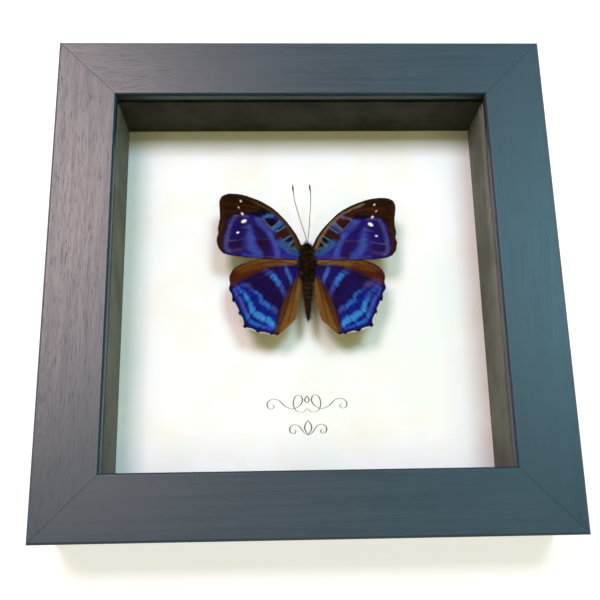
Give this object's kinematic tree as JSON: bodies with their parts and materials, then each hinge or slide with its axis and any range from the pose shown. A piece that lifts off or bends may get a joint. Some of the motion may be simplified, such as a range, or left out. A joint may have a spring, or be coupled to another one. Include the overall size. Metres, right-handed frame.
{
  "type": "framed butterfly specimen",
  "caption": "Square shadow-box frame in dark painted wood: a spread blue butterfly stands on a short peg above a pale card, behind glass.",
  "frame": {"origin": "centre of the frame's back, in the plane it lies on", "axes": "+X to the butterfly's right as seen through the glass, +Y towards its head, which is the frame's top, +Z out of the glass"},
  "size_m": [0.1524, 0.1524, 0.0318],
  "materials": {
    "frame_paint": "dark slate stain with open grain, satin",
    "glass": "clear float glass",
    "spacer": "dark stained strip, satin",
    "card": "off-white mat board with faint mottling",
    "back_board": "brown hardboard",
    "point_steel": "bare steel",
    "hanger_steel": "brass-plated steel",
    "body": "dark brown hair",
    "forewing": "dark brown and violet-blue scales",
    "hindwing": "brown and bright blue scales",
    "antenna": "dull brown",
    "riser": "translucent peg"
  },
  "bodies": {
    "root": {"rail_top": "frame_paint", "rail_bottom": "frame_paint", "rail_left": "frame_paint", "rail_right": "frame_paint", "glass_pane": "glass", "spacer_top": "spacer", "spacer_bottom": "spacer", "spacer_left": "spacer", "spacer_right": "spacer", "backing_card": "card", "back_board": "back_board", "point_top_1": "point_steel", "point_top_2": "point_steel", "point_left_1": "point_steel", "point_left_2": "point_steel", "point_bottom_1": "point_steel", "point_bottom_2": "point_steel", "point_right_1": "point_steel", "point_right_2": "point_steel", "sawtooth_hanger": "hanger_steel", "hanger_nail_1": "hanger_steel", "hanger_nail_2": "hanger_steel", "butterfly_body": "body", "forewing_left": "forewing", "forewing_right": "forewing", "hindwing_left": "hindwing", "hindwing_right": "hindwing", "antenna_left": "antenna", "antenna_right": "antenna", "riser": "riser"}
  },
  "joints": []
}
